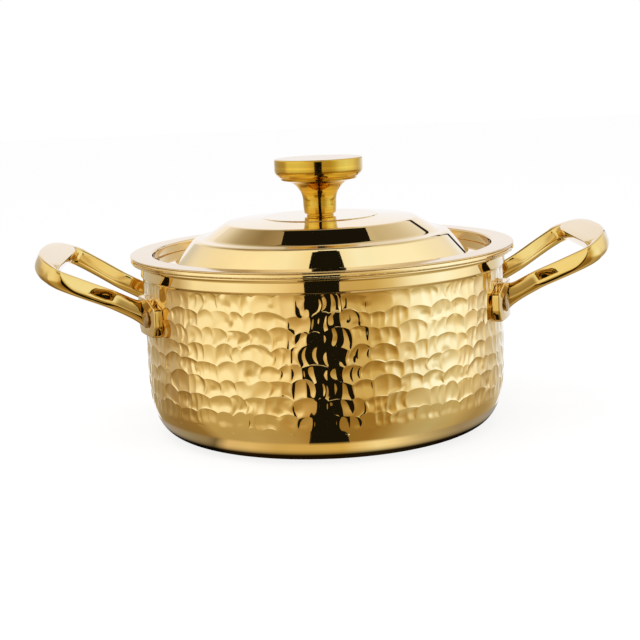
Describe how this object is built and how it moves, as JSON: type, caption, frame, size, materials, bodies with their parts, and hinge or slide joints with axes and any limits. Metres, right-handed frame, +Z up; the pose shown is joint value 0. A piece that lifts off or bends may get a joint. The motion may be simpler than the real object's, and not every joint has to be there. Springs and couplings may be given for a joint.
{
  "type": "soup kettle",
  "caption": "Round double-walled soup kettle with a hammered shell, two cast loop handles, and a recessed stepped lid lifted off by a turned knob.",
  "frame": {"origin": "on the table under the centre of the base", "axes": "+X towards the right handle, +Y towards the back, +Z up along the vessel's axis"},
  "size_m": [0.3082, 0.2084, 0.1455],
  "materials": {
    "shell_gold": "polished champagne gold coating over hammered stainless steel",
    "liner_gold": "polished champagne gold coating",
    "handle_gold": "polished gold coating over a casting",
    "lid_gold": "polished champagne gold coating",
    "knob_gold": "turned and brushed deep gold coating",
    "plain_steel": "plain stainless steel"
  },
  "bodies": {
    "kettle": {"outer_shell": "shell_gold", "inner_liner": "liner_gold", "handle_right": "handle_gold", "handle_left": "handle_gold", "rivet_right_front": "handle_gold", "rivet_right_back": "handle_gold", "rivet_left_front": "handle_gold", "rivet_left_back": "handle_gold", "washer_right_front": "plain_steel", "washer_right_back": "plain_steel", "washer_left_front": "plain_steel", "washer_left_back": "plain_steel"},
    "lid": {"lid_shell": "lid_gold", "lid_knob": "knob_gold", "knob_screw": "plain_steel", "knob_washer": "plain_steel"}
  },
  "joints": [
    {"name": "lid_lift", "type": "slide", "parent": "kettle", "child": "lid", "axis": [0, 0, 1], "range_m": [0, 0.06]}
  ]
}
